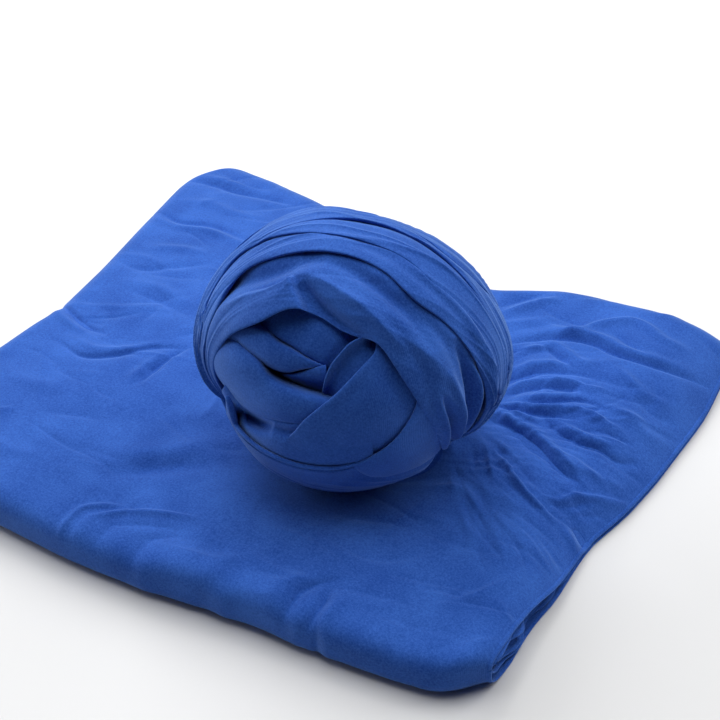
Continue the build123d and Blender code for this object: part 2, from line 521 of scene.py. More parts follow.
# Each row is a line on the face, then the width, height, power and lean of the ridge or valley along it
face_shape = shaped(
    # the fold that runs up to the peak, and on from it down to the right
    ([(-48, 47), (-38, 51), (-28, 48), (-16, 41.5), (-4, 33), (8, 23), (22, 9), (38, -5)], 5.0, 5.0, 1.5),
    ([(-40, 46), (-34, 38), (-25, 29), (-13, 19.5), (0, 10), (12, 2)], 7.5, -12.0, 1.9, 0.4),
    ([(-106, 32), (-88, 47), (-66, 54), (-50, 59), (-38, 63), (-22, 64)], 7, -7.5),
    ([(-40, 66), (-22, 63), (-4, 56), (14, 44), (30, 31), (44, 15), (56, -4)], 6, -6.0),
    # the swept band on the right
    ([(-10, 42), (6, 29), (22, 14), (39, 0), (54, -13), (62, -27), (64, -44), (62, -60)], 9, 4.0),
    ([(30, 38), (48, 22), (64, 2), (74, -18), (78, -34)], 5, -3.4),
    ([(18, 20), (34, 2), (46, -14), (54, -32), (59, -50)], 5, -2.4),
    # its pleats, which run down into the right-hand tuck
    ([(54, -26), (61, -44), (66.5, -57), (68, -66), (66, -84)], 3.0, 4.4),
    ([(60, -34), (67, -50), (70.5, -60), (71.5, -70), (69, -88)], 2.8, -8.0, 1.8),
    ([(64, -16), (73, -38), (78, -53), (78.5, -62), (75, -82)], 3.4, 5.2),
    ([(70, 6), (79, -14), (82.5, -30), (82, -45), (80.5, -57), (77, -76)], 3.2, -8.6, 1.8),
    ([(80, -8), (88, -26), (88, -41), (85, -54), (81, -70)], 2.6, 4.6),
    ([(86, -10), (92.5, -28), (91, -44), (87.5, -58), (82, -74)], 2.2, -4.6, 1.8),
    ([(-98, 20), (-84, 28), (-70, 34), (-54, 40)], 5, -1.4),
    others=[peak_panel],
)
third_shape = shaped(
    ([(20, 64), (54, 44), (80, 17), (94, -14), (92, -46)], 4, 3.4),
    ([(-20, 76), (12, 68), (44, 48), (72, 22), (88, -6)], 4, -2.6),
    ([(90, 2), (96, -31), (91, -47), (83, -72)], 3.6, 5.0),
    ([(97, 4), (100.5, -34), (96, -48), (88, -70)], 3, -2.6, 1.6),
    ([(-98, 52), (-76, 67), (-46, 76), (-14, 76)], 4, -2.0),
)
first_shape = shaped(
    ([(-84, 82), (-44, 99), (0, 98)], 7, 2.2),
    ([(14, 86), (50, 64), (78, 38), (98, 8)], 5, 1.6),
    ([(36, 76), (64, 51), (88, 22), (103, -10)], 3, -2.4),
    ([(-96, 66), (-66, 86), (-30, 96)], 4, -1.6),
)


BACK_EDGES = [
    math.radians(126) + 0.10 * np.sin(SWEEPS + 0.6),
    math.radians(152) + 0.08 * np.cos(SWEEPS * 1.3),
    math.radians(184) + 0.10 * np.sin(SWEEPS * 1.1 + 1.5),
]
HEIGHT_FACE = by_sweep((0, 0), (40, 0.5), (80, -1.0), (110, -3.0), (150, -2), (180, -3))
HEIGHT_THIRD = by_sweep((0, 1), (40, 1.8), (90, 1.6), (180, 1))

# Each row is a name, then what outer_turn takes, in its own order
outer_turns = [
    outer_turn(*row)
    for row in (
        ("turban_face_turn", face, third, (HEIGHT_FACE, HEIGHT_THIRD), (LIP_FACE, LIP_THIRD),
         (30, 0.9, 0.012), 4, 0.6, face_shape),
        ("turban_turn_3", third, second, (HEIGHT_THIRD, 3.0), (LIP_THIRD, LIP_SECOND),
         (26, 1.2, 0.013), 5, 0.8, third_shape),
        ("turban_turn_2", second, first, (3.0, 4.0), (LIP_SECOND, LIP_FIRST), (30, 1.1, 0.012), 7, 0.8),
        ("turban_turn_1", first, back, (4.0, 4.0), (LIP_FIRST, LIP_BACK),
         (40, 1.0, 0.012), 9, 0.6, first_shape),
        ("turban_back_1", back, BACK_EDGES[0], (4.0, 3.4), (LIP_BACK, 0.8), (40, 1.1, 0.015), 11, 0.6),
        ("turban_back_2", *BACK_EDGES[:2], (3.2, 3.0), (0.8, 0.9), (30, 1.0, 0.022), 13, 0.5),
        ("turban_back_3", BACK_EDGES[1], BACK_EDGES[2] + 0.06, (2.8, 2.4), (0.9, 0.9),
         (30, 1.0, 0.022), 15, 0.5),
    )
]


def cup_surface(chain):
    """The row-frame points of a cross-section chain on the cup's turn."""
    base = on_turn(chain[..., 0], SWEEPS[None, :], CUP_HINGE)
    lift = sunk_at_tucks(chain[..., 1], (0.8, 0.16), (0.35, 0.05))
    return seat(to_row(base + lift[..., None] * outward(base)))


def under_turn():
    """The last turn: from the back, under the ball, and up in front as the cup, with its hemmed edge."""
    turn, sweep = hinge_angles(on_turn(BACK_EDGES[2], SWEEPS), CUP_HINGE)
    turn = np.where(turn < -math.pi / 2, turn + 2 * math.pi, turn)
    start = smoothed(np.interp(SWEEPS, sweep, turn), 3) - 0.03
    end = cup + 2 * math.pi
    left_level = by_sweep((0, 0), (160, 0), (168, -1), (173, -4), (180, -10))
    under_start = [(0.16, -12), (0.06, -7), (0.005, -3.5), (-0.012, -0.5), (0.02, 1.8), (0.06, 2.0)]
    chain_start = np.stack([np.stack([start + a, h + left_level], -1) for a, h in under_start])
    shares = np.linspace(0.06, 0.97, 60)[:, None]
    cup_level = by_sweep((0, -9), (46, -9), (58, -5), (68, 0), (180, 0))
    middle_lift = np.interp(shares, (0, 0.5, 0.8, 1), (2.0, 1.2, 2.4, 2.4)) + left_level
    middle_lift = middle_lift + cup_level * step(shares, 0.80, 0.97)
    middle = np.stack([start + 0.06 + (end - start - 0.06) * shares, middle_lift], -1)
    arm = arm_length(end, SWEEPS, CUP_HINGE)
    cup_level = cup_level + left_level

    def before(distance, lift):
        return np.stack([end - distance / arm, cup_level + lift], -1)

    end_section = [(6.4, 2.2), (4.8, 2.4), (3.9, 1.7), (3.3, -0.9), (6.4, -2.6)]
    chain_end = np.stack([before(*place) for place in end_section])
    chain = rounded(np.concatenate([chain_start, middle, chain_end]), 1)
    spread = (float(start.min()), math.radians(318))
    lines = pleat_lines(chain[..., 0], SWEEPS[None, :], 44, spread, 1.0, 0.03, 17)
    soft = 0.8 * np.sin(3.1 * SWEEPS + 2.2 * chain[..., 0]) * step(end - chain[..., 0], 0.02, 0.2)
    chain[..., 1] += lines * (1 - step(chain[..., 0], end - 0.5, end - 0.3)) + soft
    cup_piece = grid_mesh("cup_turn_cloth", cup_surface(chain), JERSEY, flip=True)

    hem_section = [
        (2.9, -1.6), (2.9, 0.9), (2.4, 1.7), (1.4, 2.0), (0.4, 1.7), (-0.4, 0.9), (0.0, -0.5), (1.6, -1.6)
    ]
    hem_chain = rounded(np.stack([before(distance, lift + 0.6) for distance, lift in hem_section]), 2)
    hem_piece = grid_mesh("cup_hem_cloth", cup_surface(hem_chain), HEM, flip=True)
    return cup_piece, hem_piece


cup_piece, cup_hem = under_turn()


# ---------------------------------------------------------------- the folds in the ball's open face
def sunk_or_raised(base, lift):
    """Points off the base shape: raised ones go outwards, and those sunk by more than 4 go straight back."""
    shallow = np.maximum(lift, -4.0)
    share = (base[..., :2] ** 2).sum(-1) / outline_radius(base[..., 0], base[..., 1]) ** 2
    near_rim = step(share, 0.86, 0.98)
    back = near_rim[..., None] * outward(base) + (1 - near_rim)[..., None] * HINGE_OUT
    back /= np.linalg.norm(back, axis=-1, keepdims=True)
    return base + shallow[..., None] * outward(base) + (lift - shallow)[..., None] * back


folds = []


def leaf(name, edge_a, edge_b, section, level, ends, count=140, strokes=()):
    """A fold between two lines on the face, added to the folds.

    section is (share across, lift), level is the lift along it, and ends is how far its two ends dip.
    """
    a = curve_through(edge_a, count)
    b = curve_through(edge_b, count)
    section = rounded(np.array(section, float))
    q = section[:, 0][:, None, None]
    flat = a[None] * (1 - q) + b[None] * q
    along = np.linspace(0, 1, count)
    at = np.linspace(0, 1, len(level))
    lift = section[:, 1][:, None] + np.interp(along, at, level)[None]
    start_dip, end_dip = ends
    lift = lift - start_dip * (1 - step(along, 0, 0.16)) - end_dip * step(along, 0.84, 1)
    base = on_face(flat)
    for stroke in strokes:
        lift = lift + near_line(*stroke)(base)
    folds.append(grid_mesh(name, to_row(sunk_or_raised(base, lift)), JERSEY))


FLAT = [
    (-0.10, -24), (-0.05, -12), (0.02, -4), (0.1, -0.8), (0.35, 0), (0.65, -0.4), (0.88, -2), (0.98, -7),
    (1.0, -14), (0.97, -26),
]
TUCKED_UNDER = [
    (-0.10, -26), (-0.05, -15), (0.04, -6), (0.2, -1.6), (0.45, 0), (0.7, -0.6), (0.9, -2.6), (1.0, -6.5),
    (1.02, -12), (0.96, -26),
]
THIN = [
    (0.2, -10), (0.08, -5), (0.0, -2.6), (-0.012, -1.3), (0.0, -0.2), (0.05, 0.3), (0.3, 0), (0.6, 0),
    (1.0, -3),
]

leaf(
    "ball_filling",
    [(-113, 0), (-103, 30), (-54, 48), (-4, 34), (38, 0), (62, -46)],
    [(-106, -38), (-94, -62), (-60, -86), (0, -92), (40, -74), (58, -56)],
    [(0, -14), (0.15, -28), (0.5, -36), (0.85, -37), (1, -34)],
    (0, 0),
    ends=(0, 0),
    count=60,
)
leaf(
    "tucked_front_base",
    [(-103, -24), (-97, -36), (-84, -47), (-58, -57), (-26, -56), (10, -46)],
    [(-104, -40), (-97, -62), (-80, -81), (-51, -92), (-21, -98), (14, -92)],
    [(-0.1, -18), (0.03, -10), (0.14, -5.5), (0.35, -2.6), (0.6, -1.2), (0.8, -0.6), (1.0, -1.2)],
    (-3, 0, 0),
    ends=(0, 0),
    strokes=[
        ([(-106, -22), (-100, -34), (-95, -44), (-89, -52), (-82, -58)], 4.6, 4.0),
        ([(-93, -47.5), (-86, -51.5), (-79, -55.5), (-70, -59), (-62, -60.5)], 4.4, -24, 2.4),
        ([(-72, -58), (-58, -61.5), (-46, -64), (-32, -62)], 3.6, -7),
    ],
)
leaf(
    "tucked_lower_left",
    [
        (-116, 1), (-110, 7), (-98, 7), (-88, -1), (-77, -11), (-68, -23), (-58, -29), (-45, -34),
        (-32, -38), (-18, -41), (4, -43),
    ],
    [
        (-114, -24), (-106, -34), (-98, -41), (-88, -48.5), (-76, -54.5), (-66, -58), (-54, -61),
        (-40, -63), (-20, -64), (6, -62),
    ],
    TUCKED_UNDER,
    (-2, -1.0, -1.8, -4, -8),
    ends=(1, 8),
)
leaf(
    "tucked_middle_left",
    [(-104, 14), (-92, 16), (-78, 17), (-70, 12.5), (-61, 4.5), (-50, -1.5), (-38, -9), (-25, -15)],
    [(-102, 6), (-94, 3), (-87, -4), (-77, -12), (-67, -18), (-57, -21), (-42, -18.5), (-27, -17)],
    FLAT,
    (-6, -7, -8, -13),
    ends=(1, 4),
)
leaf(
    "tucked_top",
    [(-80, 30), (-48, 40), (-26, 34), (-10, 20), (2, 6)],
    [(-76, 18), (-63, 7.5), (-51, 0), (-41, -7), (-27, -15), (-21, -18)],
    [(0.0, -4), (0.3, -1.2), (0.7, -0.2), (0.92, 0), (1.0, -0.9), (0.99, -3), (0.9, -9)],
    (-14, -13, -14, -19),
    ends=(4, 3),
)
leaf(
    "tucked_centre",
    [(-60, -22), (-50, -21.5), (-38, -18), (-29, -15), (-24, -14)],
    [(-55, -27), (-46, -31), (-38, -35), (-29, -38), (-22, -42)],
    [(0.1, -8), (0.0, -3), (0.06, -0.4), (0.3, -1), (0.52, -5), (0.75, -13), (1, -22)],
    (-17, -15, -13, -12),
    ends=(6, 2),
    count=80,
)
leaf(
    "tucked_right",
    [(-27, -36), (-24, -24), (-20, -15), (-13, -6), (-5, 2.5), (3, 7), (14, 9)],
    [(-20, -44), (-12, -35), (-2, -26), (7, -17), (14, -9), (19, -2), (22, 4)],
    [
        (0.3, -12), (0.08, -6), (0.0, -1.6), (-0.015, 0), (0.04, 0.4), (0.12, -1.4), (0.3, -6), (0.55, -8),
        (1.1, -5),
    ],
    (-11, -7.5, -6, -6.5, -9),
    ends=(4, 4),
    count=80,
)
leaf(
    "cup_turn_fold",
    [(-12, -94), (2, -88.5), (14, -82.3), (24, -76), (33, -68), (41, -58), (46.5, -49), (50, -40), (54, -32)],
    [(2, -101), (16, -103), (32, -103), (48, -100), (60, -94), (68, -84), (70, -70), (70, -58), (72, -46)],
    [
        (0.3, -7), (0.08, -5), (0.0, -2.4), (-0.02, -0.8), (0.0, 0.2), (0.06, 0.7), (0.3, 1.0), (0.6, 0.6),
        (0.85, -1), (1.0, -4),
    ],
    (-0.5, 1.8, 1.2, -0.6, -4),
    ends=(4, 3),
)
leaf(
    "tucked_front",
    [(17, 8), (15.5, -4), (6, -15.5), (-3, -25), (-15, -37), (-30, -49), (-42, -59), (-48, -66), (-52, -70)],
    [(66, -32), (62, -58), (48, -80), (24, -95), (0, -101), (-24, -101), (-42, -98), (-54, -94), (-64, -88)],
    THIN,
    (-6, -3.0, -2.0, -1.0, -1.0),
    ends=(2, 1.0),
    count=180,
    strokes=[
        ([(30, -26), (12, -46), (-16, -66)], 24, 2.6),
        ([(22, 2), (30, -22), (44, -44)], 7, -2.0),
        ([(14, -14), (2, -30), (-20, -50)], 4, -1.0),
    ],
)


# ---------------------------------------------------------------- the pad
FLOOR_GAP = 1.2
HALF_WIDTH = 285
# How far back the front fold's round part reaches
NOSE_REACH = 24.0
# The pad's outline, as (y, x) along its left and right sides and (x, y) along its front and back
SIDE_LEFT = [
    (-250, -286), (-205, -282), (-150, -277), (-100, -272), (-50, -269), (-25, -264), (45, -272), (122, -285),
    (205, -298), (226, -298), (248, -287), (272, -270),
]
SIDE_RIGHT = [
    (-240, 266), (-214, 273), (-190, 271), (-159, 269), (-130, 269), (-100, 272), (-60, 270), (-31, 270),
    (13, 280), (61, 285), (91, 286), (139, 288), (159, 288.5), (191, 286), (217, 283), (245, 280), (270, 275),
]
FRONT_EDGE = [
    (-285, -246), (-210, -249), (-142, -253), (-60, -256), (0, -253), (50, -247), (93, -242), (136, -240),
    (175, -238), (212, -234), (240, -230), (262, -226), (272, -223), (279, -211), (285, -200),
]
BACK_EDGE = [
    (-285, 267), (-268, 274.5), (-258, 274), (-235, 271), (-182, 264), (-157, 259), (-100, 246), (-40, 226),
    (20, 209), (62, 209), (80, 219), (98, 230), (123, 243), (149, 251), (173, 254), (197, 256), (220, 259),
    (243, 263), (265, 266), (285, 267),
]
# Height of the top layer's edge, and how far in from it the pad has its whole height, as (y, value)
RIGHT_EDGE_HEIGHT = [
    (-250, 33), (-205, 34), (-185, 33), (-160, 29), (-130, 23), (-100, 16), (-60, 8), (-35, 5.5),
    (170, 6), (215, 9), (240, 12), (265, 15),
]
RIGHT_SLOPE = [(-250, 10), (-190, 14), (-150, 30), (-100, 50), (-50, 70), (60, 82), (250, 82)]


def along_table(table, at):
    """A smoothed reading of a table of (place, value)."""
    places = [row[0] for row in table]
    fine = np.linspace(places[0], places[-1], 240)
    return np.interp(at, fine, smoothed(np.interp(fine, places, [row[1] for row in table]), 4))


def pad_height(x, y, left, right):
    """How high the pad's top is, before its creases. It drops at the right, the left and the back."""
    top = PAD_TOP - 1.0
    edge = along_table(RIGHT_EDGE_HEIGHT, y)
    drop_right = (top - edge) * np.clip(1 - (right - x) / along_table(RIGHT_SLOPE, y), 0, 1) ** 2.2
    rounding = np.clip(1 - (x - left) / 20, 0, 1)
    drop_left = 24 * (1 - np.sqrt(np.maximum(1 - rounding**2, 0))) + 2 * np.clip(1 - (x - left) / 70, 0, 1)
    drop_back = 16 * np.clip(1 - (along_table(BACK_EDGE, x) - y) / 26, 0, 1) ** 2
    return np.maximum(top - np.maximum(drop_right, drop_left) - drop_back, 4.5)


def place_in_outline(a, b):
    """At a share across the cloth and a share from front to back: x, y, and the outline's left and right x."""
    x = 2 * HALF_WIDTH * a - HALF_WIDTH
    front = along_table(FRONT_EDGE, x)
    y = front + (along_table(BACK_EDGE, x) - front) * b
    left = along_table(SIDE_LEFT, y)
    right = along_table(SIDE_RIGHT, y)
    return left + (right - left) * a, y, left, right


# Each row is a crease's line on the pad's top, then its width, height and lean
CREASES = [
    # behind and right of the ball
    ([(92, 166), (107, 190), (125, 213)], 5, 3.2, 0.3),
    ([(84, 172), (98, 196), (112, 216)], 5, -2.8),
    ([(118, 129), (130, 142), (154, 159), (180, 166), (206, 162), (233, 166), (257, 176), (280, 191)],
     4, -4.2, -0.4),
    ([(122, 142), (148, 168), (180, 176), (206, 172), (235, 176), (262, 188)], 6, 3.0),
    ([(145, 159), (159, 176), (176, 201), (195, 216), (223, 212)], 5, 3.0, 0.4),
    ([(140, 142), (155, 137), (171, 130), (182, 126)], 4, -3.4, 0.3),
    ([(142, 150), (158, 146), (176, 138), (192, 134)], 5, 2.2),
    ([(126, 119), (136, 131), (151, 146)], 4, 3.0),
    ([(118, 112), (130, 124), (142, 134)], 4, -2.4),
    ([(188, 190), (205, 180), (226, 176)], 4, -1.8),
    ([(206, 214), (228, 206), (252, 210)], 5, 1.8),
    ([(216, 140), (238, 132), (262, 134)], 6, 1.8),
    # the fan that runs into the ball
    ([(142, 67), (150, 82), (165, 96), (180, 105), (203, 108), (216, 112)], 4, 4.0, 0.35),
    ([(146, 62), (160, 80), (181, 95), (200, 100)], 3.4, -3.4),
    ([(136, 74), (146, 92), (160, 108), (178, 118), (204, 124)], 4, -2.8),
    ([(132, 84), (142, 104), (158, 120), (182, 130)], 5, 2.4),
    ([(166, 62), (178, 71), (192, 84), (204, 90), (222, 90)], 3.2, -3.8, 0.4),
    ([(160, 66), (176, 78), (190, 92)], 3.4, 2.2),
    ([(148, 47), (161, 55), (179, 61), (201, 73), (217, 77), (233, 75), (244, 77)], 4.2, 4.2, 0.35),
    ([(140, 40), (152, 46), (170, 50), (192, 58), (212, 64)], 3.4, -3.2),
    ([(136, 32), (150, 40), (168, 44), (190, 46)], 3.4, 3.0),
    ([(146, 23), (154, 36), (167, 32), (180, 28)], 4.5, 3.6),
    ([(152, 26), (167, 28), (188, 22), (209, 11), (228, 3), (244, 2)], 4.5, -5.6, 0.45),
    ([(160, 36), (178, 34), (198, 26), (218, 16), (238, 10)], 5, 3.4, -0.3),
    ([(190, 50), (199, 45), (210, 41), (225, 41), (240, 46), (255, 47), (268, 60)], 4, -4.0, 0.3),
    ([(196, 54), (212, 50), (228, 50), (244, 56), (258, 60)], 5, 2.6),
    ([(222, 24), (238, 18), (254, 20), (270, 28)], 5, 2.0),
    ([(168, -2), (175, -9), (184, -14), (205, -31), (219, -39), (233, -43), (245, -45)], 2.6, 3.4, 0.3),
    ([(178, 0), (190, -8), (208, -20), (224, -28)], 4, -2.6),
    ([(166, 6), (182, -2), (200, -14)], 3.6, 2.6),
    ([(224, -34), (239, -26), (244, -14), (257, -1), (273, 14), (282, 22)], 4.5, 3.0, 0.4),
    ([(232, -36), (246, -24), (252, -12), (266, 2)], 4, -2.8),
    ([(256, -34), (264, -38), (273, -44)], 4, -4.6),
    ([(252, -44), (262, -48), (274, -56)], 5, 3.2),
    ([(160, -4), (170, -14), (178, -26), (190, -42)], 3, 2.0),
    ([(156, -14), (164, -26), (172, -42)], 3, -1.8),
    ([(230, 92), (246, 96), (262, 92), (278, 98)], 6, 1.6),
    ([(238, 120), (256, 116), (276, 124)], 6, -1.6),
    # left and far left
    ([(-282, 212), (-258, 217), (-234, 217), (-199, 223), (-166, 226)], 4.5, -3.2),
    ([(-276, 224), (-250, 228), (-215, 232)], 6, 2.2),
    ([(-252, 236), (-226, 232), (-204, 238)], 5, -1.8),
    ([(-274, 149), (-250, 144), (-221, 153), (-171, 148)], 4.5, -3.0, 0.3),
    ([(-268, 138), (-243, 136), (-212, 143), (-170, 140)], 5, 2.4),
    ([(-266, 176), (-238, 184), (-208, 182), (-176, 190)], 6, 1.6),
    ([(-257, 59), (-229, 58), (-204, 75), (-176, 98)], 5, -2.0),
    ([(-240, 92), (-214, 104), (-188, 108)], 6, 1.8),
    ([(-215, 24), (-182, 25), (-144, 18)], 7, -2.2),
    ([(-224, 36), (-190, 40), (-152, 32)], 7, 1.8),
    ([(-262, -18), (-249, -24), (-216, -37), (-191, -40)], 3.6, -4.0, 0.35),
    ([(-258, -32), (-236, -42), (-210, -48)], 5, 2.6),
    ([(-223, -69), (-186, -74), (-166, -59), (-147, -36), (-120, -20)], 3.4, -3.2, 0.35),
    ([(-214, -60), (-186, -62), (-162, -48), (-142, -26)], 5, 1.8),
    ([(-123, -80), (-125, -58), (-124, -39), (-118, -18)], 3.4, -3.2, -0.3),
    ([(-134, -84), (-134, -60), (-132, -40)], 5, 1.8),
    ([(-172, -168), (-128, -176), (-98, -177), (-70, -182)], 2.2, -1.2),
    ([(-250, -120), (-210, -128), (-176, -122)], 8, 1.4),
    ([(-210, -196), (-170, -204), (-132, -200)], 7, 1.4),
    # in front of the ball
    ([(-92, -170), (-49, -142), (-30, -118), (-16, -104)], 12, 2.6),
    ([(-76, -188), (-39, -156), (-8, -134)], 10, -2.6),
    ([(-65, -246), (-68, -230), (-55, -217), (-38, -210)], 3, 1.7),
    ([(-57, -233), (-37, -214), (-14, -202), (16, -192)], 3, 2.0, 0.3),
    ([(-50, -244), (-30, -226), (-6, -214), (20, -206)], 5, -1.7),
    ([(2, -266), (13, -240), (34, -231), (52, -226), (69, -211)], 8, 3.3),
    ([(-16, -252), (-6, -234), (8, -218), (30, -212)], 7, -2.4),
    ([(62, -262), (72, -247), (82, -230)], 6, 2.0),
    ([(46, -252), (62, -240), (78, -222)], 5, -2.2),
    ([(81, -239), (105, -236), (119, -225), (129, -205), (140, -192)], 4.5, -3.6, 0.3),
    ([(92, -226), (110, -216), (120, -202)], 6, 2.2),
    ([(138, -200), (143, -214), (148, -232), (154, -254)], 4.5, -3.9, -0.3),
    ([(148, -204), (154, -222), (162, -250)], 6, 2.7),
    ([(128, -228), (134, -240), (140, -252)], 5, 1.7),
    ([(214, -98), (247, -91), (276, -98)], 3, -1.2),
    ([(170, -168), (213, -157), (232, -150)], 3, -0.9),
    ([(250, -152), (262, -160), (270, -168)], 3, 1.3),
    ([(202, -208), (216, -219), (226, -234)], 5, -1.4),
]


def apply_creases(x, y, creases):
    """The sum of the creases at each point. Ridges and broad valleys are round, and narrow valleys sharp."""
    total = np.zeros(x.shape)
    for points, width, height, *leans in creases:
        line = np.array(points, float)
        lean = leans[0] if leans else 0.0
        margin = 4 * width
        low = line.min(0) - margin
        high = line.max(0) + margin
        near = (x > low[0]) & (x < high[0]) & (y > low[1]) & (y < high[1])
        if not near.any():
            continue
        px, py = x[near], y[near]
        path = curve_through(line, 40)
        fade = np.sin(np.linspace(0.12, math.pi - 0.06, 40)) ** 0.7
        best = np.full(px.shape, 1e9)
        share = np.zeros(px.shape)
        side = np.zeros(px.shape)
        for (x1, y1), (x2, y2), f1, f2 in zip(path[:-1], path[1:], fade[:-1], fade[1:]):
            dx, dy = x2 - x1, y2 - y1
            t = np.clip(((px - x1) * dx + (py - y1) * dy) / (dx * dx + dy * dy), 0, 1)
            away = (px - x1 - t * dx) ** 2 + (py - y1 - t * dy) ** 2
            closer = away < best
            best = np.where(closer, away, best)
            side = np.where(closer, np.sign((px - x1) * dy - (py - y1) * dx), side)
            share = np.where(closer, f1 + (f2 - f1) * t, share)
        spread = width * (1 + lean * side)
        sharpness = 0.95 if height > 0 or width > 7 else 0.62
        total[near] += 1.2 * height * share * np.exp(-((best / spread**2 + 0.01) ** sharpness))
    return total


def soft_noise(x, y, scale, seed, octaves=3):
    """Smooth undulation between about -1 and 1, from a few turned waves."""
    rng = np.random.default_rng(seed)
    total = np.zeros(x.shape)
    weight = 0
    for octave in range(octaves):
        size = scale / 1.9**octave
        share = 0.55**octave
        for _ in range(6):
            turn = rng.uniform(0, 2 * math.pi)
            phase = rng.uniform(0, 2 * math.pi)
            stretch = rng.uniform(0.7, 1.3)
            wave = (x * math.cos(turn) + y * math.sin(turn)) / (size * stretch)
            bent = wave + 0.8 * np.sin((x * math.sin(turn) - y * math.cos(turn)) / (size * 1.7) + phase)
            total += share * np.sin(bent + phase)
            weight += share
    return total / weight * 1.6


# Where the cloth is gathered into the ball, and the middle of the smoothest part of the pad's top
GATHER = np.array([127.0, -22.0])
CALM_PLACE = (35.0, -160.0)
TAIL_HEIGHT = 36
HILL_HEIGHT = 16


def wander(start, heading, length, curl):
    """Five points of a line that starts at a heading and curls as it goes."""
    points = [start]
    for _ in range(4):
        way = np.array([math.cos(heading), math.sin(heading)])
        points.append(points[-1] + length / 4 * way)
        heading += curl / 4
    return points


def small_creases(seed):
    """Many short creases between the large ones: a fan out of the gather, and faint ones everywhere."""
    rng = np.random.default_rng(seed)
    made = []
    for _ in range(230):
        heading = math.radians(rng.uniform(-50, 95))
        away = rng.uniform(26, 125)
        start = GATHER + away * np.array([math.cos(heading), math.sin(heading)])
        bend = rng.uniform(-0.9, 0.3)
        points = wander(start, heading + rng.normal(0, 0.22), rng.uniform(18, 70), bend)
        near_gather = 1 - math.exp(-((away / 60) ** 2))
        size = rng.uniform(0.5, 1.9) * near_gather * math.exp(-away / 200) * rng.choice([1, -1, -1])
        made.append((points, rng.uniform(1.8, 4.2), size, rng.uniform(-0.4, 0.4)))
    for _ in range(170):
        start = np.array([rng.uniform(-275, 260), rng.uniform(-245, 250)])
        heading = rng.normal(0.25, 0.55)
        points = wander(start, heading, rng.uniform(20, 90), rng.normal(0, 0.6))
        size = rng.uniform(0.35, 1.3) * rng.choice([1, -1, -1])
        size *= 1 - 0.9 * math.exp(-((math.dist(points[2], CALM_PLACE) / 75) ** 2))
        made.append((points, rng.uniform(2.0, 6.0), size, rng.uniform(-0.4, 0.4)))
    return made


def top_shape(x, y, left, right):
    """The height of the pad's top, with its creases, the gathered tail and the dent under the ball."""
    z = pad_height(x, y, left, right)
    inside = step(right - x, 0, 30) * step(x - left, 0, 30)
    z = z + inside * (1.6 * soft_noise(x, y, 38, 5) + 0.35 * soft_noise(x, y, 9, 8, 2))
    z = z + apply_creases(x, y, CREASES) * step(right - x, -4, 8)
    z = z + apply_creases(x, y, small_creases(21)) * step(right - x, -4, 14)
    away = np.hypot(x - GATHER[0], y - GATHER[1])
    turn = np.arctan2(y - GATHER[1], x - GATHER[0])
    pleated = 1 + 0.10 * np.cos(7 * turn) + 0.05 * np.cos(4 * turn + 1)
    tail = TAIL_HEIGHT * np.exp(-((away * pleated / 12.5) ** 2))
    hill = HILL_HEIGHT * np.exp(-((away / 28) ** 1.6)) + tail
    under_ball = np.hypot(x - BALL_CENTRE[0], y - BALL_CENTRE[1])
    dent = -3.0 * np.exp(-((under_ball / 66) ** 4))
    return z + hill * step(under_ball, 46, 70) + dent


def drawn_in(a, low):
    """How far back the front's right-hand corner stands: low is 0 on top and 1 underneath."""
    return 15.0 * step(a, 0.925, 1.0) * low


def pad_grid(columns, nose_rows, top_rows, bottom_rows):
    """The outer wrap: from the back along the underside, round the front fold and over the top."""
    a = np.linspace(0, 1, columns)[None, :]
    nose_share = NOSE_REACH / PAD_DEPTH
    x, y, left, right = place_in_outline(a, np.linspace(nose_share, 1, top_rows)[:, None])
    top = np.stack([x, y, top_shape(x, y, left, right)], -1)

    x, y, left, right = place_in_outline(a, np.full((1, 1), nose_share))
    reach = y - along_table(FRONT_EDGE, 2 * HALF_WIDTH * a - HALF_WIDTH)
    seam_z = top[:1, :, 2]
    half = (seam_z - FLOOR_GAP) / 2
    angle = np.linspace(0, math.pi, nose_rows)[1:, None]
    squareness = 0.62
    nose_y = y - reach * np.sin(angle) ** squareness - 2.5 * (0.5 - 0.5 * np.cos(angle)) * np.sin(angle)
    nose_y = nose_y + drawn_in(a, (0.5 - 0.5 * np.cos(angle)) ** 1.5)
    nose_z = FLOOR_GAP + half * (1 + np.sign(np.cos(angle)) * np.abs(np.cos(angle)) ** squareness)
    nose_x = x + 0 * angle
    relief = apply_creases(nose_x, nose_y, CREASES) + 0.7 * soft_noise(nose_x, nose_z * 2, 24, 77)
    nose_y = nose_y - 0.5 * relief * np.sin(angle)
    nose = np.stack([nose_x, nose_y, nose_z], -1)

    share = np.linspace(nose_share, 1, bottom_rows)[1:, None]
    x, y, left, right = place_in_outline(a, share)
    y = y + drawn_in(a, 1 - step(share, nose_share, 0.25))
    bottom = np.stack([x, y, FLOOR_GAP + 0.5 * (1 + soft_noise(x, y, 60, 3, 1))], -1)
    return np.concatenate([bottom[::-1], nose[::-1], top])


HEM_WIDTH = 3.6


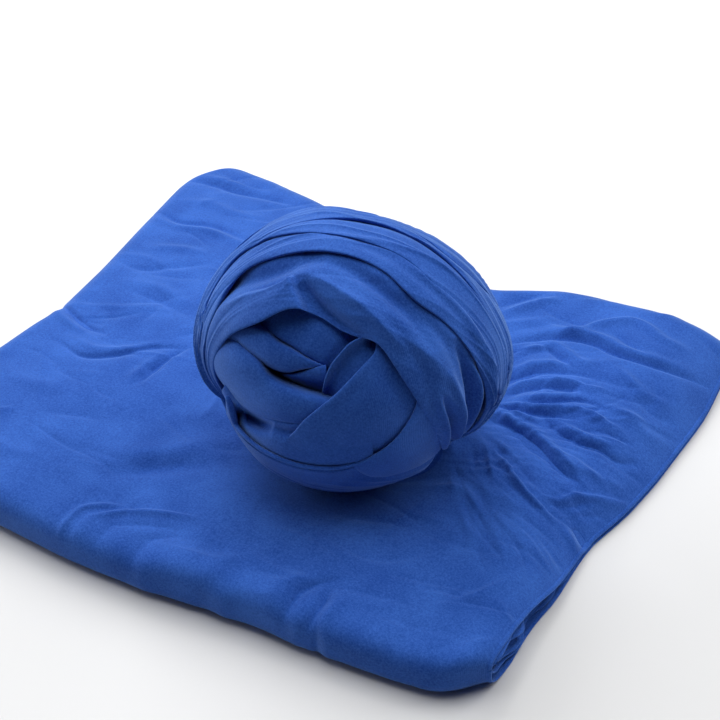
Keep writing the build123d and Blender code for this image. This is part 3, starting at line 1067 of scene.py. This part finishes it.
def hem_along(name, line, inner_line, thickness):
    """A narrow rolled hem along a line. inner_line is beside it, in the cloth."""
    inward = inner_line - line
    ahead = np.gradient(line, axis=0)
    ahead /= np.linalg.norm(ahead, axis=1, keepdims=True)
    inward = inward - (inward * ahead).sum(1, keepdims=True) * ahead
    inward /= np.linalg.norm(inward, axis=1, keepdims=True)
    up = np.cross(ahead, inward)
    up *= np.sign(up[:, 2:3] + 1e-9)
    angle = np.linspace(0, 2 * math.pi, 13)
    across = (np.sign(np.cos(angle)) * np.abs(np.cos(angle)) ** 0.7)[:, None, None] * HEM_WIDTH / 2
    high = (np.sign(np.sin(angle)) * np.abs(np.sin(angle)) ** 0.7)[:, None, None] * thickness / 2
    return grid_mesh(name, line + inward * (HEM_WIDTH / 2 - 0.6 + across) + up * high, HEM)


pad_points = pad_grid(columns=440, nose_rows=40, top_rows=400, bottom_rows=30)
outer_pad = grid_mesh("pad_outer_wrap", pad_points, JERSEY, flip=True)

# Each row is a name, how much of the pad's height it fills, and how far its front, right and left are set in
INNER_WRAPS = [
    ("pad_second_wrap", 0.80, 3.5, 3.0, 4.0),
    ("pad_inner_roll", 0.40, 13.0, 5.0, 3.0),
]


def inner_wrap(name, fills, inset_front, inset_right, inset_left, seed):
    """A turn of the cloth inside the outer wrap: underside, front bend and top, and its two hems."""
    a = (0.5 - 0.5 * np.cos(np.linspace(0, math.pi, 100)))[None, :]
    flat_rows, bend_rows = 110, 16
    flat_share = np.linspace(0.985, 0.0, flat_rows)
    angle = np.linspace(math.pi, 0, bend_rows)[1:-1]
    share = np.concatenate([flat_share, np.zeros(len(angle)), flat_share[::-1]])[:, None]
    bulge = np.concatenate([np.zeros(flat_rows), np.sin(angle) ** 0.7, np.zeros(flat_rows)])[:, None]
    side = np.concatenate([np.full(flat_rows, -1.0), np.cos(angle), np.ones(flat_rows)])[:, None]
    start = (NOSE_REACH + inset_front) / PAD_DEPTH
    x, y, left, right = place_in_outline(a, start + (1 - start) * share)
    y = y - NOSE_REACH * bulge
    y = y + drawn_in(a, (0.5 - 0.5 * side) ** 1.5 * (1 - step(share, start, 0.25)))
    h = pad_height(x, y, left, right) - 3.0
    wave_right = inset_right * (1 + 0.5 * np.sin(y / 21 + seed)) + 1.6 * np.sin(y / 7.5 + 2 * seed + 2 * side)
    wave_left = inset_left * (1 + 0.35 * np.sin(y / 27 + seed * 2)) + 1.3 * np.sin(y / 10 + seed)
    peek = (2.6 + 2.2 * side) * fills * np.exp(-(((y + 200) / 22) ** 2))
    peek = peek + 13 * (1 - fills) * np.exp(-(((y + 156) / 15) ** 2))
    x = x + wave_left * (1 - a) ** 6 - (np.maximum(wave_right, 0.8) - peek) * a**6
    space = step(h, 8, 26)
    curl = np.exp(-(((right - x - inset_right) / 8) ** 2)) + np.exp(-(((x - left - inset_left) / 8) ** 2))
    ripple = 0.5 * soft_noise(x, y, 18, seed, 2) + 1.8 * curl * np.sin(y / 26 + seed * 1.9)
    z = FLOOR_GAP + 1.2 + h / 2 + side * (h / 2) * fills + space * ripple * (1 - 0.6 * fills)
    points = np.stack([x, y, np.clip(z, 1.6, PAD_TOP - 3)], -1)
    sheet = grid_mesh(name, points, JERSEY, flip=True)
    left_hem = hem_along(name + "_hem_left", points[:, 0], points[:, 1], 1.5)
    right_hem = hem_along(name + "_hem_right", points[:, -1], points[:, -2], 1.5)
    return [sheet, left_hem, right_hem]


layers = [inner_wrap(*row, seed) for seed, row in enumerate(INNER_WRAPS, start=1)]
outer_hems = [
    hem_along("pad_hem_left", pad_points[:, 0], pad_points[:, 2], 1.4),
    hem_along("pad_hem_right", pad_points[:, -1], pad_points[:, -3], 1.3),
    hem_along("pad_hem_end", pad_points[-1], pad_points[-3], 1.4),
]

# ---------------------------------------------------------------- riding on the CAD bodies
folds.sort(key=lambda fold: fold.name)
for piece in [*outer_turns, cup_piece, cup_hem, *folds]:
    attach(piece, "wound_ball")
for piece in [part for layer in layers for part in layer] + outer_hems:
    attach(piece, "folded_pad")
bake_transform(outer_pad)
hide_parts(*[n for n in frame["nodes"] if n not in BALL_NODES])
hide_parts(*BALL_NODES)


# ---------------------------------------------------------------- what each piece is cut from
# In metres: the cloth's width, and each turn of the rolled pad along the middle of its CAD layers
CLOTH_WIDTH = 0.57
TURN_LENGTHS = {"pad_outer_wrap": 0.998, "pad_second_wrap": 0.961, "pad_inner_roll": 0.940}


def cut_size(piece):
    """(width, length, area) of a piece laid out flat, in metres: along and across its rows, and all of it."""
    points = GRIDS[piece.name] * MM
    across = np.linalg.norm(np.diff(points, axis=1), axis=-1).sum(1).max()
    along = np.linalg.norm(np.diff(points, axis=0), axis=-1).sum(0).max()
    diagonals = np.cross(points[1:, 1:] - points[:-1, :-1], points[1:, :-1] - points[:-1, 1:])
    return across, along, np.linalg.norm(diagonals, axis=-1).sum() / 2


def cloth(piece):
    """Works out a sheet's width, length and area: the pad's turns by the cloth they take, and the ball's
    stretches as measured. Nothing further is done with them.
    """
    if piece.name in TURN_LENGTHS:
        width, length = CLOTH_WIDTH, TURN_LENGTHS[piece.name]
        area = width * length
    else:
        width, length, area = cut_size(piece)


cloth(outer_pad)
for sheet_piece, *hems in layers:
    cloth(sheet_piece)
cloth(cup_piece)
for piece in outer_turns:
    cloth(piece)
for piece in folds:
    cloth(piece)


# ---------------------------------------------------------------- floor, light and camera
SURROUND = (0.93, 0.94, 0.96, 1)
FLOOR_HALF_SIZE = 8.0
# How far from the object the floor starts and ends its fade, as the camera sees it
FADE_FROM, FADE_TO = 0.8, 1.9
CAMERA_AIM = (0.075, -0.053, 0.120)
CAMERA_DISTANCE = 1.2308


def pale_floor():
    """A pale floor that fades into the surround, as the camera sees it, far from the object."""
    material, tree = new_material("pale_floor")
    floor_look = {"Base Color": (0.72, 0.722, 0.726, 1), "Roughness": 0.6}
    near = add_node(tree, "BsdfPrincipled", floor_look).outputs["BSDF"]
    far = add_node(tree, "Emission", {"Color": SURROUND}).outputs[0]
    place = add_node(tree, "TexCoord").outputs["Object"]
    distance = add_node(tree, "VectorMath", operation="LENGTH")
    tree.links.new(place, distance.inputs[0])
    limits = {"Value": distance.outputs["Value"], "From Min": FADE_FROM, "From Max": FADE_TO}
    fade = add_node(tree, "MapRange", limits, interpolation_type="SMOOTHSTEP").outputs["Result"]
    seen = add_node(tree, "LightPath").outputs["Is Camera Ray"]
    share = add_node(tree, "Math", {0: fade, 1: seen}, operation="MULTIPLY").outputs[0]
    mixed = add_node(tree, "MixShader", {0: share, 1: near, 2: far}).outputs[0]
    add_node(tree, "OutputMaterial", {"Surface": mixed})
    mesh = bpy.data.meshes.new("floor")
    s = FLOOR_HALF_SIZE
    mesh.from_pydata([(-s, -s, 0), (s, -s, 0), (s, s, 0), (-s, s, 0)], [], [(0, 1, 2, 3)])
    mesh.materials.append(material)
    floor = bpy.data.objects.new("floor", mesh)
    bpy.context.scene.collection.objects.link(floor)


def look_at(item, place, aim):
    """Puts a light or a camera at a place, turned towards a point."""
    item.location = place
    item.rotation_euler = (Vector(aim) - Vector(place)).to_track_quat("-Z", "Y").to_euler()
    bpy.context.scene.collection.objects.link(item)


def soft_box(name, place, size, power):
    """A square area light, turned towards the object."""
    data = bpy.data.lights.new(name, "AREA")
    data.shape = "RECTANGLE"
    data.size = data.size_y = size
    data.energy = power
    look_at(bpy.data.objects.new(name, data), place, (0, 0, 0.05))


def studio_world():
    """A pale surround that the camera sees, and that hardly lights the cloth."""
    world = bpy.data.worlds.new("studio")
    world.use_nodes = True
    tree = world.node_tree
    seen = tree.nodes["Background"]
    seen.inputs["Color"].default_value = SURROUND
    dim = add_node(tree, "Background", {"Color": (0.93, 0.95, 1.0, 1), "Strength": 0.02})
    ray = add_node(tree, "LightPath").outputs["Is Camera Ray"]
    mixed = add_node(tree, "MixShader", {0: ray, 1: dim.outputs[0], 2: seen.outputs[0]})
    tree.links.new(mixed.outputs[0], tree.nodes["World Output"].inputs["Surface"])
    bpy.context.scene.world = world


def camera():
    """Straight in front of the ball's open face, without any roll."""
    data = bpy.data.cameras.new("camera")
    data.lens = 80
    data.sensor_width = 36
    viewer = bpy.data.objects.new("camera", data)
    look_at(viewer, Vector(CAMERA_AIM) + Vector(OUT) * CAMERA_DISTANCE, CAMERA_AIM)
    bpy.context.scene.camera = viewer
    bpy.context.scene.view_settings.view_transform = "Standard"


pale_floor()
studio_world()
# Overhead, and lower ones all round but the front, where the cloth turns dark
soft_box("overhead_box", (0.0, 0.0, 2.3), 2.0, 36)
soft_box("left_box", (-2.0, -0.2, 0.9), 1.4, 25.5)
soft_box("left_back_box", (-0.9, 0.9, 1.3), 1.2, 22)
soft_box("right_back_box", (1.2, 1.3, 1.3), 1.3, 22)
soft_box("left_front_box", (-0.9, -1.4, 1.1), 1.2, 1.5)
camera()
